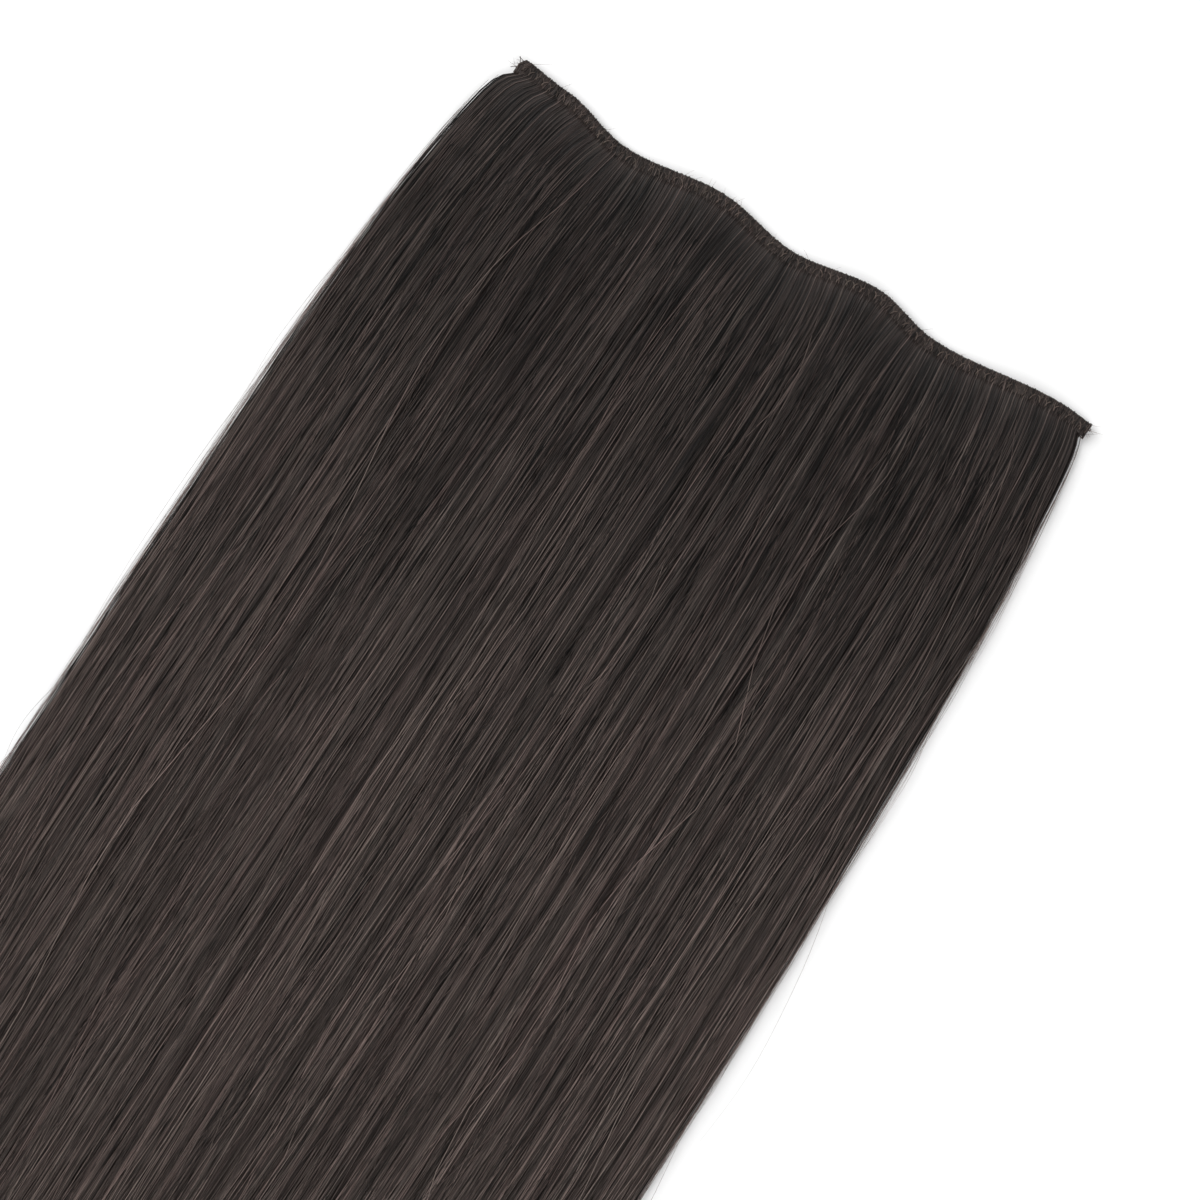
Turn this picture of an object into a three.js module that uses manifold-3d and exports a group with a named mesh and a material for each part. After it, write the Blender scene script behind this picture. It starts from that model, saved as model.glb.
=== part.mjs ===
// A clip-in hair extension: one wide machine-sewn weft of long straight hair, lying face up on a flat surface.
// The hair is folded over and sewn flat along a band, and four snap clips are sewn under the band.
// Millimetres, +Z up. The band runs along X and the hair falls towards -Y.
// The origin is on the surface that the weft lies on, in the middle of its outline.
import * as THREE from "three";
import { mergeVertices } from "three/addons/utils/BufferGeometryUtils.js";
import Module from "manifold-3d";

const wasm = await Module();
wasm.setup();
const { smoothstep, lerp, clamp } = THREE.MathUtils;

// The gap kept between two pieces that touch on the real weft.
const GAP = 0.3;
// Faces and edges finer than this are joined to their neighbours.
const SLIVER = 0.02;

// The sewn band.
const BAND_LENGTH = 203;
const BAND_HEIGHT = 4.6;
const BAND_THICKNESS = 2.2;
const BAND_STATIONS = 72;
// The band is a soft strip, held straight by the clips and slack between them, so it lies in waves.
// along is in shares of half the band, out in shares of BAND_WANDER. The rows are the crests and hollows.
const BAND_WANDER = 4.7;
const BAND_LINE = [
  { along: -1.0, out: 0.19 },
  { along: -0.83, out: -0.1 },
  { along: -0.6, out: -1.0 },
  { along: -0.27, out: -0.12 },
  { along: -0.03, out: -0.75 },
  { along: 0.26, out: 0.17 },
  { along: 0.47, out: -0.56 },
  { along: 0.92, out: 0.47 },
  { along: 1.0, out: 0.4 },
];
// The band's section: in is in shares of its height from the fold, up in shares of its thickness.
const BAND_SECTION = [
  { in: 1.0, up: 0.0 },
  { in: 0.16, up: 0.0 },
  { in: 0.04, up: 0.18 },
  { in: 0.0, up: 0.5 },
  { in: 0.04, up: 0.82 },
  { in: 0.16, up: 1.0 },
  { in: 1.0, up: 1.0 },
];
// How high the band's underside is above the surface, midway between two clips.
const BAND_DIP = 0.6;

// The snap clips, each a plain arched comb of spring steel.
const CLIP_COUNT = 4;
const CLIP_LENGTH = 32;
const CLIP_HEIGHT = 16;
const CLIP_SHEET = 1.0;
const CLIP_ARCH = 1.2;
const CLIP_ARCH_STEPS = 9;
const CLIP_CORNER = 2.4;
// From the band's end to the end of the outer clip.
const CLIP_INSET = 1.5;
// The bar that is sewn to the band, the arms at the two ends and the rail that the teeth close on.
const CLIP_BAR = 3.2;
const CLIP_ARM = 2.0;
const CLIP_RAIL = 1.8;
const TOOTH_COUNT = 7;
const TOOTH_WIDTH = 1.4;
const TOOTH_TIP_GAP = 1.1;
const SEWING_HOLES = 4;
const SEWING_HOLE_RADIUS = 0.6;

// The falling hair.
const HAIR_LENGTH = 503;
const HAIR_DEPTH = 5.2;
const LOCK_COUNT = 22;
// How unlike each other the locks are, as shares of their mean width and depth.
const LOCK_WIDTH_SPREAD = 0.3;
const LOCK_DEPTH_SPREAD = 0.12;
// How much wider than its share of the weft each lock is, so that it lies over its neighbours.
const LOCK_OVERLAP = 1.4;
// Every second lock stands this much higher than its neighbours.
const LOCK_STAGGER = 0.35;
// The outer hairs start this far in from the band's ends.
const ROOT_INSET = 1.3;
const ROOT_STRIP_HEIGHT = 9;
// At each side the outermost hairs flare out just under the band, and then all the hair fans out slowly.
const LEFT_SIDE = { flare: 5.6, flareRun: 3, fan: 10.2, fanRun: 50 };
const RIGHT_SIDE = { flare: 2.0, flareRun: 4, fan: 13.7, fanRun: 95 };
const FLARE_EDGE = 6;
// The whole fall draws in again by this share of its width towards the tips.
const TIPS_DRAW_IN = 0.05;
// The run over which the hair forgets the band's waves.
const WANDER_RUN = 60;
// Past the clips the hair comes down to the surface over this run, and swells to its full depth.
const SETTLE_RUN = 26;
// The longest and the shortest lock differ by this much.
const TIP_RAGGED = 28;
// A lock's section: across in shares of its half width, up in shares of its depth.
const LOCK_SECTION = [
  { across: -0.86, up: 0.0 },
  { across: 0.0, up: 0.0 },
  { across: 0.86, up: 0.0 },
  { across: 1.0, up: 0.58 },
  { across: 0.6, up: 0.92 },
  { across: 0.0, up: 1.0 },
  { across: -0.6, up: 0.92 },
  { across: -1.0, up: 0.58 },
];
// Below the clips: down in shares of the lock's length, depth in shares of HAIR_DEPTH, width in shares of its full one.
const LOCK_BODY = [
  { down: 0.17, depth: 1.0, width: 1.0 },
  { down: 0.35, depth: 1.0, width: 1.0 },
  { down: 0.55, depth: 0.94, width: 1.0 },
  { down: 0.74, depth: 0.8, width: 0.98 },
  { down: 0.87, depth: 0.62, width: 0.96 },
  { down: 0.95, depth: 0.44, width: 0.86 },
  { down: 1.0, depth: 0.22, width: 0.58 },
];
// Over and just past the clips, in shares of the run from the band to where the hair is down.
// The first one is inside the root strip.
const ROOT_STATIONS = [0.06, 0.16, 0.36, 0.66, 1];

const hairMaterial = new THREE.MeshStandardMaterial({ color: 0x3a3431, roughness: 0.5, metalness: 0 });
const bandMaterial = new THREE.MeshStandardMaterial({ color: 0x35302c, roughness: 0.7, metalness: 0 });
const clipMaterial = new THREE.MeshStandardMaterial({ color: 0x2b2422, roughness: 0.35, metalness: 0.6 });

// What follows from the driving sizes.
const HALF_BAND = BAND_LENGTH / 2;
const HALF_CLIP = CLIP_LENGTH / 2;
const CLIP_PITCH = (BAND_LENGTH - CLIP_LENGTH - 2 * CLIP_INSET) / (CLIP_COUNT - 1);
// The clip's bar lies in the middle of the band's height.
const CLIP_TUCK = (BAND_HEIGHT - CLIP_BAR) / 2;
// How far below the band the clips can reach, with the band's waves.
const CLIP_REACH = CLIP_TUCK + CLIP_HEIGHT - BAND_HEIGHT + BAND_WANDER;
const DOWN_ON_SURFACE = CLIP_REACH + SETTLE_RUN;

// A closed solid from a triangle geometry.
function solidOf(geometry) {
  const bare = geometry.clone();
  bare.deleteAttribute("normal");
  bare.deleteAttribute("uv");
  const merged = mergeVertices(bare, 1e-4);
  return new wasm.Manifold(
    new wasm.Mesh({
      numProp: 3,
      vertProperties: merged.attributes.position.array,
      triVerts: new Uint32Array(merged.index.array),
    }),
  );
}

function geometryOf(solid) {
  const { vertProperties, triVerts, numProp, numVert } = solid.getMesh();
  const positions = new Float32Array(numVert * 3);
  for (let i = 0; i < numVert; i++) {
    positions.set(vertProperties.subarray(i * numProp, i * numProp + 3), i * 3);
  }
  const geometry = new THREE.BufferGeometry();
  geometry.setAttribute("position", new THREE.BufferAttribute(positions, 3));
  geometry.setIndex(new THREE.BufferAttribute(triVerts, 1));
  geometry.computeVertexNormals();
  return geometry;
}

// A closed body through rings of points, each ring anticlockwise when seen from the last ring.
function loft(rings) {
  const count = rings[0].length;
  const positions = new Float32Array(rings.flat().flatMap((p) => [p.x, p.y, p.z]));
  const index = [];
  for (let r = 0; r + 1 < rings.length; r++) {
    for (let k = 0; k < count; k++) {
      const a = r * count + k;
      const b = r * count + ((k + 1) % count);
      index.push(a, b, a + count, b, b + count, a + count);
    }
  }
  const last = (rings.length - 1) * count;
  for (let k = 1; k + 1 < count; k++) {
    index.push(0, k + 1, k);
    index.push(last, last + k, last + k + 1);
  }
  const geometry = new THREE.BufferGeometry();
  geometry.setAttribute("position", new THREE.BufferAttribute(positions, 3));
  geometry.setIndex(index);
  return geometry;
}

// A repeatable uneven number from -1 to 1 for lock i, so that no two locks are alike.
function uneven(i, kind) {
  const wave = Math.sin(i * 12.9898 + kind * 78.233) * 43758.5453;
  return 2 * (wave - Math.floor(wave)) - 1;
}

// How far out the fold lies at a place along the band, from -1 at its left end to 1 at its right end.
function foldOut(along) {
  const place = clamp(along, -1, 1);
  const next = Math.max(1, BAND_LINE.findIndex((row) => row.along >= place));
  const [a, b] = [BAND_LINE[next - 1], BAND_LINE[next]];
  return BAND_WANDER * lerp(a.out, b.out, smoothstep(place, a.along, b.along));
}

// The clip's arch above its two ends, at a distance from its middle.
function clipArch(fromMiddle) {
  return CLIP_ARCH * (1 - (fromMiddle / HALF_CLIP) ** 2);
}

// Where clip i is: its bar lies along the band, and the clip is turned to follow it.
function clipPlace(i) {
  const x = (i - (CLIP_COUNT - 1) / 2) * CLIP_PITCH;
  const leftEnd = foldOut((x - HALF_CLIP) / HALF_BAND);
  const rightEnd = foldOut((x + HALF_CLIP) / HALF_BAND);
  return {
    x,
    y: (leftEnd + rightEnd) / 2 - CLIP_TUCK,
    turn: Math.atan2(rightEnd - leftEnd, CLIP_LENGTH),
  };
}
const CLIP_PLACES = Array.from({ length: CLIP_COUNT }, (_, i) => clipPlace(i));

// The height at which a place is carried: on the arch of the nearest clip, and slack between two clips.
function carriedRise(x, y) {
  const fromMiddles = CLIP_PLACES.map((clip) =>
    Math.abs((x - clip.x) * Math.cos(clip.turn) + (y - clip.y) * Math.sin(clip.turn)));
  const fromMiddle = Math.min(...fromMiddles);
  const onClipEnd = CLIP_SHEET + GAP;
  if (fromMiddle <= HALF_CLIP) return onClipEnd + clipArch(fromMiddle);
  return lerp(onClipEnd, BAND_DIP, smoothstep(fromMiddle, HALF_CLIP, CLIP_PITCH / 2));
}

function band() {
  const rings = [];
  for (let i = 0; i <= BAND_STATIONS; i++) {
    const along = -1 + (2 * i) / BAND_STATIONS;
    const x = along * HALF_BAND;
    const fold = foldOut(along);
    const rise = carriedRise(x, fold - BAND_HEIGHT / 2);
    rings.push(
      BAND_SECTION.map((row) =>
        new THREE.Vector3(x, fold - row.in * BAND_HEIGHT, rise + row.up * BAND_THICKNESS)),
    );
  }
  return loft(rings);
}

// Where a hair is, seen from above: across from -1 to 1, down in millimetres from the band.
function fallPlace(across, down) {
  const side = across < 0 ? LEFT_SIDE : RIGHT_SIDE;
  const flare = side.flare * (1 - Math.exp(-down / side.flareRun)) * Math.abs(across) ** FLARE_EDGE;
  const fan = side.fan * (1 - Math.exp(-down / side.fanRun));
  const drawIn = 1 - TIPS_DRAW_IN * smoothstep(down, HAIR_LENGTH / 2, HAIR_LENGTH);
  const x = across * (HALF_BAND - ROOT_INSET + flare + fan) * drawIn;
  const y = foldOut(across) * Math.exp(-down / WANDER_RUN) - BAND_HEIGHT - GAP - down;
  return { x, y };
}

// A point of the hair: it is carried over the clips, and then comes down to the surface.
function fallPoint(across, down, up) {
  const { x, y } = fallPlace(across, down);
  const rise = carriedRise(x, y) * (1 - smoothstep(down, CLIP_REACH, DOWN_ON_SURFACE));
  return new THREE.Vector3(x, y, rise + up);
}

// One ring of a lock. The depth at the band is the band's own thickness.
function lockRing(lock, down, depthShare, widthShare) {
  const swell = smoothstep(down, 0, DOWN_ON_SURFACE);
  const thinSides = 1 - 0.35 * Math.abs(lock.across) ** 4;
  const fullDepth = HAIR_DEPTH * depthShare * thinSides * lock.fullness;
  const depth = lerp(BAND_THICKNESS, fullDepth, swell) + lock.raised * LOCK_STAGGER * swell;
  return LOCK_SECTION.map((row) => {
    const across = clamp(lock.across + row.across * lock.halfWidth * widthShare, -1, 1);
    return fallPoint(across, down, row.up * depth);
  });
}

// The locks side by side, each with its own width, depth and length.
function lockShapes() {
  const widths = Array.from({ length: LOCK_COUNT }, (_, i) => 1 + LOCK_WIDTH_SPREAD * uneven(i, 1));
  const total = widths.reduce((sum, width) => sum + width);
  let left = -1;
  return widths.map((width, i) => {
    const share = (2 * width) / total;
    const halfWidth = (LOCK_OVERLAP * share) / 2;
    const across = clamp(left + share / 2, -1 + halfWidth, 1 - halfWidth);
    left += share;
    return {
      across,
      halfWidth,
      fullness: 1 + LOCK_DEPTH_SPREAD * uneven(i, 2),
      raised: i % 2,
      length: HAIR_LENGTH - TIP_RAGGED * (0.5 + 0.5 * uneven(i, 3)),
    };
  });
}

function lockSolid(lock) {
  const rings = ROOT_STATIONS.map((share) => lockRing(lock, share * DOWN_ON_SURFACE, LOCK_BODY[0].depth, 1));
  for (const row of LOCK_BODY) {
    rings.push(lockRing(lock, row.down * lock.length, row.depth, row.width));
  }
  return solidOf(loft(rings));
}

// The strip just under the band, where every hair is still held in line, to which the locks are fused.
function rootStrip() {
  const rings = [];
  for (let i = 0; i <= BAND_STATIONS; i++) {
    const across = -1 + (2 * i) / BAND_STATIONS;
    rings.push([
      fallPoint(across, 0, 0),
      fallPoint(across, 0, BAND_THICKNESS),
      fallPoint(across, ROOT_STRIP_HEIGHT, BAND_THICKNESS),
      fallPoint(across, ROOT_STRIP_HEIGHT, 0),
    ]);
  }
  return solidOf(loft(rings));
}

function fallingHair() {
  let fused = rootStrip();
  for (const lock of lockShapes()) {
    fused = fused.add(lockSolid(lock));
  }
  // The outer skin alone, without the slivers that the facets of two locks leave in it and on it.
  const skins = fused.decompose().sort((a, b) => b.volume() - a.volume());
  return geometryOf(skins[0].simplify(SLIVER));
}

// The clip seen from above: its bar along the top, from y = 0 down, and the comb's window with its teeth.
function clipOutline() {
  const outline = new THREE.Shape();
  const bottom = -CLIP_HEIGHT;
  outline.moveTo(-HALF_CLIP, 0);
  outline.lineTo(-HALF_CLIP, bottom + CLIP_CORNER);
  outline.absarc(-HALF_CLIP + CLIP_CORNER, bottom + CLIP_CORNER, CLIP_CORNER, Math.PI, 1.5 * Math.PI);
  outline.absarc(HALF_CLIP - CLIP_CORNER, bottom + CLIP_CORNER, CLIP_CORNER, 1.5 * Math.PI, 2 * Math.PI);
  outline.lineTo(HALF_CLIP, 0);
  outline.closePath();

  const windowLeft = -HALF_CLIP + CLIP_ARM;
  const windowBottom = bottom + CLIP_RAIL;
  const toothPitch = (CLIP_LENGTH - 2 * CLIP_ARM) / (TOOTH_COUNT + 1);
  const toothTip = windowBottom + TOOTH_TIP_GAP + TOOTH_WIDTH / 2;
  const comb = new THREE.Path();
  comb.moveTo(windowLeft, -CLIP_BAR);
  for (let i = 1; i <= TOOTH_COUNT; i++) {
    const middle = windowLeft + i * toothPitch;
    comb.lineTo(middle - TOOTH_WIDTH / 2, -CLIP_BAR);
    comb.absarc(middle, toothTip, TOOTH_WIDTH / 2, Math.PI, 2 * Math.PI);
    comb.lineTo(middle + TOOTH_WIDTH / 2, -CLIP_BAR);
  }
  comb.lineTo(-windowLeft, -CLIP_BAR);
  comb.lineTo(-windowLeft, windowBottom);
  comb.lineTo(windowLeft, windowBottom);
  comb.closePath();
  outline.holes.push(comb);

  for (let i = 0; i < SEWING_HOLES; i++) {
    const x = ((i + 0.5) / SEWING_HOLES - 0.5) * (CLIP_LENGTH - 2 * CLIP_ARM);
    outline.holes.push(new THREE.Path().absarc(x, -CLIP_BAR / 2, SEWING_HOLE_RADIUS, 0, 2 * Math.PI));
  }
  return outline;
}

// The clip is its outline cut out of a sheet that is arched along its length.
function clip() {
  const sheet = new THREE.Shape();
  const arch = [];
  for (let i = 0; i <= CLIP_ARCH_STEPS; i++) {
    const x = -HALF_CLIP + (i / CLIP_ARCH_STEPS) * CLIP_LENGTH;
    arch.push(new THREE.Vector2(x, clipArch(x)));
  }
  sheet.setFromPoints([
    ...arch,
    ...arch.toReversed().map((p) => new THREE.Vector2(p.x, p.y + CLIP_SHEET)),
  ]);
  const arched = new THREE.ExtrudeGeometry(sheet, { depth: CLIP_HEIGHT, bevelEnabled: false });
  arched.rotateX(Math.PI / 2);
  const tall = CLIP_ARCH + 3 * CLIP_SHEET;
  const cutter = new THREE.ExtrudeGeometry(clipOutline(), { depth: tall, bevelEnabled: false, curveSegments: 3 });
  cutter.translate(0, 0, -CLIP_SHEET);
  return geometryOf(solidOf(arched).intersect(solidOf(cutter)));
}

// The extension, with each clip turned to follow the band above it.
const extension = new THREE.Group();

const bandMesh = new THREE.Mesh(band(), bandMaterial);
bandMesh.name = "weft_band";
extension.add(bandMesh);

const hairMesh = new THREE.Mesh(fallingHair(), hairMaterial);
hairMesh.name = "hair_fall";
extension.add(hairMesh);

const clipGeometry = clip();
CLIP_PLACES.forEach((place, i) => {
  const mesh = new THREE.Mesh(clipGeometry, clipMaterial);
  mesh.name = "clip_" + (i + 1);
  mesh.position.set(place.x, place.y, 0);
  mesh.rotation.z = place.turn;
  extension.add(mesh);
});

// Puts the origin in the middle of the outline, on the surface.
const outlineBox = new THREE.Box3().setFromObject(extension, true);
const middle = outlineBox.getCenter(new THREE.Vector3());
extension.position.set(-middle.x, -middle.y, -outlineBox.min.z);

export default new THREE.Group().add(extension);
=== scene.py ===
import math

import bpy
import numpy as np
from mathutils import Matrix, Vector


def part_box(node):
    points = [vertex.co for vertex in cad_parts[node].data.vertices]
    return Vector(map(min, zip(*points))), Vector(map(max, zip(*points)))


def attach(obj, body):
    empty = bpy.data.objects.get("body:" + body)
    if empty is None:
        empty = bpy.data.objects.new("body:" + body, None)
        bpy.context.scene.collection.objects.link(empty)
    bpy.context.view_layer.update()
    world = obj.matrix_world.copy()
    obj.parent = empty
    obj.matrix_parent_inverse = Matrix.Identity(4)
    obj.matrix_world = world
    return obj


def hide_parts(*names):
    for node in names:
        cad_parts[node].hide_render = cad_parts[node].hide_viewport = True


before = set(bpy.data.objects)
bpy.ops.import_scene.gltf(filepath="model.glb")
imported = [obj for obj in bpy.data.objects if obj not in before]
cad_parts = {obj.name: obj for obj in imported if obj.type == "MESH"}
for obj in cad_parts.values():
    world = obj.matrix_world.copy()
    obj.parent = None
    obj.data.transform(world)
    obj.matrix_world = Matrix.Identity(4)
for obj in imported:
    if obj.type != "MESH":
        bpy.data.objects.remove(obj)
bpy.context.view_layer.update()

# Camera. The photo looks straight down on the weft, so near that the tips are outside it,
# and turned so that the sewn band runs from the upper left down to the right. All sizes are in
# millimetres, and MM makes them metres.
MM = 0.001
VIEW_TURN = math.radians(33.1)
VIEW_WIDTH = 360
VIEW_CENTRE = (6.8, -122.6)
LENS = 85
SENSOR = 36
# How far the band's highest crest lies out from the line that the places below are measured from.
BAND_CREST = 2.209

band_low, band_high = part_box("weft_band")
middle_x = (band_low[0] + band_high[0]) / 2
line_y = band_high[1] - BAND_CREST * MM

bpy.ops.object.select_all(action="DESELECT")
bpy.ops.object.camera_add(
    location=(
        middle_x + VIEW_CENTRE[0] * MM,
        line_y + VIEW_CENTRE[1] * MM,
        VIEW_WIDTH * LENS / SENSOR * MM,
    ),
    rotation=(0, 0, VIEW_TURN),
)
camera = bpy.context.object
camera.name = "camera"
camera.data.lens = LENS
camera.data.sensor_width = SENSOR
camera.data.clip_start = 0.01
camera.data.clip_end = 20
bpy.context.scene.camera = camera


# The sewn band's line and the clips. The band is a soft strip, held straight where a clip is sewn
# under it and slack between two clips, so it lies in waves, both seen from above and from the side.
BAND_LENGTH = 203
BAND_HEIGHT = 4.6
BAND_THICKNESS = 2.2
GAP = 0.3
# How far the fold's line waves out and in, and how high the band lies where it is slack.
BAND_WANDER = 4.7
BAND_DIP = 0.6
BAND_LINE = [
    {"along": -1.0, "out": 0.19},
    {"along": -0.83, "out": -0.1},
    {"along": -0.6, "out": -1.0},
    {"along": -0.27, "out": -0.12},
    {"along": -0.03, "out": -0.75},
    {"along": 0.26, "out": 0.17},
    {"along": 0.47, "out": -0.56},
    {"along": 0.92, "out": 0.47},
    {"along": 1.0, "out": 0.4},
]
CLIP_COUNT = 4
CLIP_LENGTH = 32
CLIP_HEIGHT = 16
CLIP_SHEET = 1.0
CLIP_ARCH = 1.2
CLIP_BAR = 3.2
CLIP_INSET = 1.5
HALF_BAND = BAND_LENGTH / 2
HALF_CLIP = CLIP_LENGTH / 2
CLIP_PITCH = (BAND_LENGTH - CLIP_LENGTH - 2 * CLIP_INSET) / (CLIP_COUNT - 1)
CLIP_TUCK = (BAND_HEIGHT - CLIP_BAR) / 2


def smooth(value, low, high):
    """From 0 at low to 1 at high, level at both."""
    share = np.clip((value - low) / (high - low), 0.0, 1.0)
    return share * share * (3.0 - 2.0 * share)


def column(rows, name):
    """One column of a table."""
    return np.array([row[name] for row in rows])


def fold_out(along):
    """How far out the fold lies, for places along the band from -1 to 1."""
    places, outs = column(BAND_LINE, "along"), column(BAND_LINE, "out")
    along = np.clip(along, -1.0, 1.0)
    row = np.clip(np.searchsorted(places, along), 1, len(places) - 1)
    blend = smooth(along, places[row - 1], places[row])
    return BAND_WANDER * (outs[row - 1] * (1 - blend) + outs[row] * blend)


def fold_slope(along):
    """The band's slope at a place along it, seen from above."""
    step = 0.01
    return (fold_out(along + step) - fold_out(along - step)) / (2 * step * HALF_BAND)


def clip_place(number):
    """The middle of a clip's bar under the band, and the clip's turn."""
    x = (number - (CLIP_COUNT - 1) / 2) * CLIP_PITCH
    left_end = fold_out((x - HALF_CLIP) / HALF_BAND)
    right_end = fold_out((x + HALF_CLIP) / HALF_BAND)
    turn = math.atan2(right_end - left_end, CLIP_LENGTH)
    return x, (left_end + right_end) / 2 - CLIP_TUCK, turn


CLIP_PLACES = [clip_place(number) for number in range(CLIP_COUNT)]


def carried_rise(x, y):
    """The height of the weft's underside: on a clip's arch, and slack between two clips."""
    from_middle = np.full(np.shape(x), np.inf)
    for clip_x, clip_y, turn in CLIP_PLACES:
        along_clip = (x - clip_x) * math.cos(turn) + (y - clip_y) * math.sin(turn)
        from_middle = np.minimum(from_middle, np.abs(along_clip))
    on_clip_end = CLIP_SHEET + GAP
    arch = CLIP_ARCH * np.clip(1 - (from_middle / HALF_CLIP) ** 2, 0, 1)
    slack = smooth(from_middle, HALF_CLIP, CLIP_PITCH / 2)
    return on_clip_end + arch - (on_clip_end - BAND_DIP) * slack


def in_frame(x, y, z):
    """Points in millimetres from the band's middle, as points of the frame in metres."""
    return np.stack(np.broadcast_arrays(x * MM + middle_x, y * MM + line_y, z * MM), axis=-1)


# The falling hair's lie. It leaves the band at right angles to each wave, forgets the waves as it goes
# down, fans out slowly and lies in twenty-two loose locks that end unevenly.
HAIR_LENGTH = 503
HAIR_DEPTH = 5.2
LOCK_COUNT = 22
LOCK_WIDTH_SPREAD = 0.3
LOCK_DEPTH_SPREAD = 0.12
LOCK_STAGGER = 0.35
LOCK_CROWN = 0.16
ROOT_INSET = 1.3
# Each side flares out close to the band and fans out slowly below, most of it within its run.
LEFT_SIDE = {"flare": 5.6, "flare_run": 3, "fan": 10.2, "fan_run": 50}
RIGHT_SIDE = {"flare": 2.0, "flare_run": 4, "fan": 13.7, "fan_run": 95}
FLARE_EDGE = 6
SIDE_THINNING = 0.35
SIDE_ROUNDS_FROM = 0.965
SIDE_ROUNDING = 0.035
TIPS_DRAW_IN = 0.05
WANDER_RUN = 60
SETTLE_RUN = 26
TIP_RAGGED = 28
LEAN_RUN = 15
LEAN_FADE = 160
CLIP_REACH = CLIP_TUCK + CLIP_HEIGHT - BAND_HEIGHT + BAND_WANDER
DOWN_ON_SURFACE = CLIP_REACH + SETTLE_RUN
# Painted shade on the hair, by millimetres from the band: darker below the band and lighter further down,
# with a painted lightening right at the band's edge against the shadow there.
PAINTED_SHADE_DOWN = [
    {"down": 0, "tone": 0.56},
    {"down": 2, "tone": 0.36},
    {"down": 5, "tone": 0.25},
    {"down": 10, "tone": 0.23},
    {"down": 20, "tone": 0.35},
    {"down": 60, "tone": 0.44},
    {"down": 90, "tone": 0.54},
    {"down": 120, "tone": 0.72},
    {"down": 210, "tone": 1.0},
]
# How deep and how wide a lock is, by the share of its length.
LOCK_BODY = [
    {"down": 0.17, "depth": 1.0, "width": 1.0},
    {"down": 0.35, "depth": 1.0, "width": 1.0},
    {"down": 0.55, "depth": 0.94, "width": 1.0},
    {"down": 0.74, "depth": 0.8, "width": 0.98},
    {"down": 0.87, "depth": 0.62, "width": 0.96},
    {"down": 0.95, "depth": 0.44, "width": 0.86},
    {"down": 1.0, "depth": 0.22, "width": 0.58},
]


def uneven(number, kind):
    """A repeatable uneven value from -1 to 1, so that no two locks are alike."""
    wave = np.sin(number * 12.9898 + kind * 78.233) * 43758.5453
    return 2 * (wave - np.floor(wave)) - 1


lock_numbers = np.arange(LOCK_COUNT)
lock_widths = 1 + LOCK_WIDTH_SPREAD * uneven(lock_numbers, 1)
lock_edges = np.concatenate([[0], np.cumsum(lock_widths)]) * 2 / lock_widths.sum() - 1
lock_middles = (lock_edges[1:] + lock_edges[:-1]) / 2
lock_halves = (lock_edges[1:] - lock_edges[:-1]) / 2
lock_fullness = 1 + LOCK_DEPTH_SPREAD * uneven(lock_numbers, 2)
lock_lengths = HAIR_LENGTH - TIP_RAGGED * (0.5 + 0.5 * uneven(lock_numbers, 3))


def lock_at(across):
    """The number of the lock at each place across the fall."""
    return np.clip(np.searchsorted(lock_edges, across) - 1, 0, LOCK_COUNT - 1)


def fall_place(across, down):
    """Where a hair is, seen from above: across from -1 to 1, down in millimetres from the band."""
    is_left = across < 0
    flare = np.where(
        is_left,
        LEFT_SIDE["flare"] * (1 - np.exp(-down / LEFT_SIDE["flare_run"])),
        RIGHT_SIDE["flare"] * (1 - np.exp(-down / RIGHT_SIDE["flare_run"])),
    )
    fan = np.where(
        is_left,
        LEFT_SIDE["fan"] * (1 - np.exp(-down / LEFT_SIDE["fan_run"])),
        RIGHT_SIDE["fan"] * (1 - np.exp(-down / RIGHT_SIDE["fan_run"])),
    )
    draw_in = 1 - TIPS_DRAW_IN * smooth(down, HAIR_LENGTH / 2, HAIR_LENGTH)
    reach = HALF_BAND - ROOT_INSET + np.abs(across) ** FLARE_EDGE * flare + fan
    lean = fold_slope(across) * LEAN_RUN * (1 - np.exp(-down / LEAN_RUN)) * np.exp(-down / LEAN_FADE)
    towards_sides = 1 - np.abs(across) ** FLARE_EDGE
    x = across * reach * draw_in + lean * towards_sides
    y = fold_out(across) * np.exp(-down / WANDER_RUN) - BAND_HEIGHT - down
    return x, y


def painted_fall_shade(down):
    """Painted shade: the hair is darker below the band and grows lighter further down, and is painted lighter
    right at the band's edge against the shadow there.
    """
    return np.interp(down, column(PAINTED_SHADE_DOWN, "down"), column(PAINTED_SHADE_DOWN, "tone"))


def fall_rise(x, y, down):
    """The height of the hair's underside: over the clips, and then down on the surface."""
    return carried_rise(x, y) * (1 - smooth(down, CLIP_REACH, DOWN_ON_SURFACE))


def fall_depth(across, down):
    """How thick the hair lies: as thick as the band at its root, full in the middle, thin at the tips."""
    lock = lock_at(across)
    share = np.interp(down / lock_lengths[lock], column(LOCK_BODY, "down"), column(LOCK_BODY, "depth"))
    thin_sides = 1 - SIDE_THINNING * np.abs(across) ** 4
    swell = smooth(down, 0, DOWN_ON_SURFACE)
    off_middle = (across - lock_middles[lock]) / lock_halves[lock]
    crown = 1 - LOCK_CROWN * off_middle**2
    full = HAIR_DEPTH * share * thin_sides * lock_fullness[lock] * crown
    stagger = LOCK_STAGGER * (lock % 2) * (1 - np.abs(off_middle))
    side = np.clip((np.abs(across) - SIDE_ROUNDS_FROM) / SIDE_ROUNDING, 0, 1)
    rounded = np.sqrt(1 - 0.9 * side**2)
    return (BAND_THICKNESS * (1 - swell) + (full + stagger) * swell) * rounded


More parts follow.
